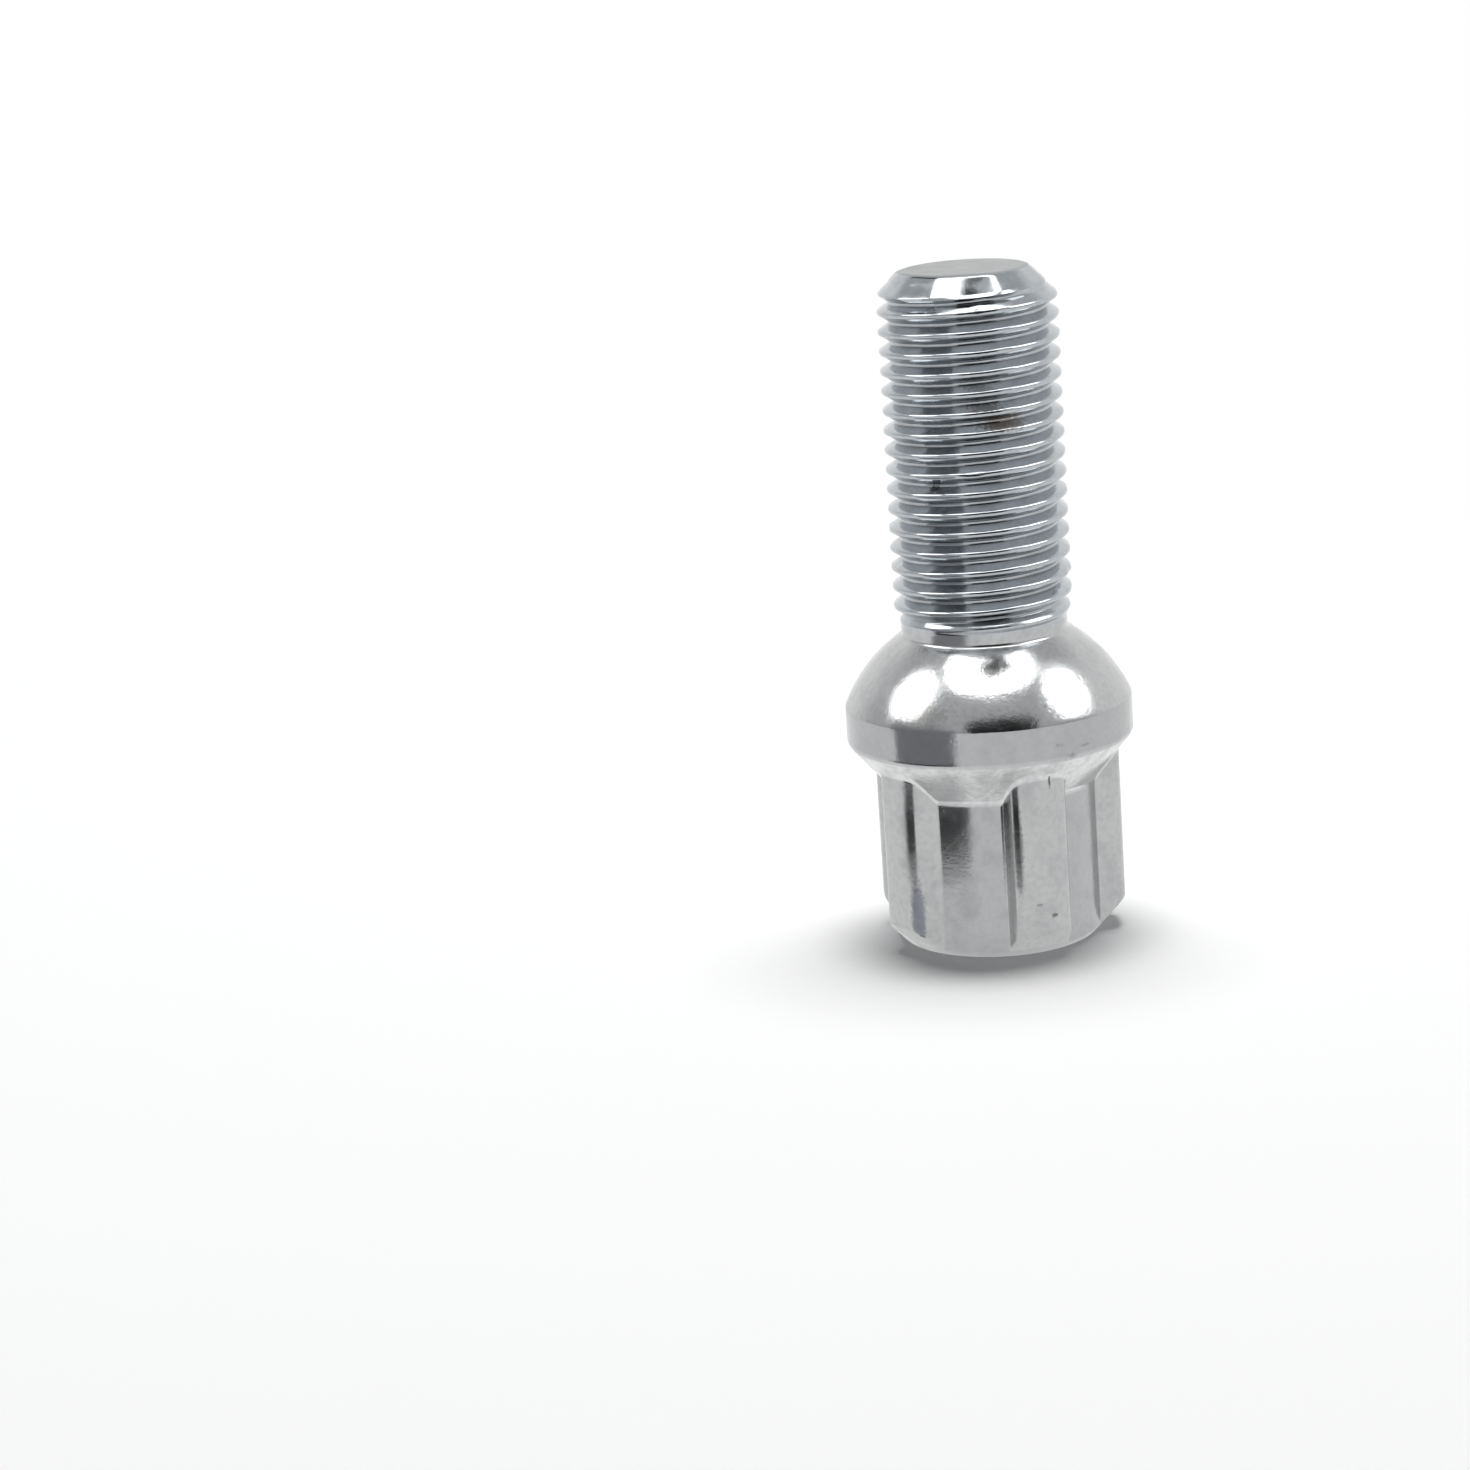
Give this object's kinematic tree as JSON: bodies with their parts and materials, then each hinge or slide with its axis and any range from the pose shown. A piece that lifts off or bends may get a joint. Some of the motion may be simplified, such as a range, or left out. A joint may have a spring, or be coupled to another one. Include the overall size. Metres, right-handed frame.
{
  "type": "locking wheel bolt",
  "caption": "Steel wheel bolt with a threaded shank, a round flange with a ball seat and a ribbed head that only its own key grips.",
  "frame": {"origin": "centre of the head's end face, on which the bolt stands", "axes": "+Z along the bolt's axis from the head to the tip of the shank, +Y along the middle of one rib"},
  "size_m": [0.022, 0.022, 0.0518],
  "materials": {
    "plated_steel": "bright zinc plating, lightly worn"
  },
  "bodies": {
    "root": {"locking_wheel_bolt": "plated_steel"}
  },
  "joints": []
}
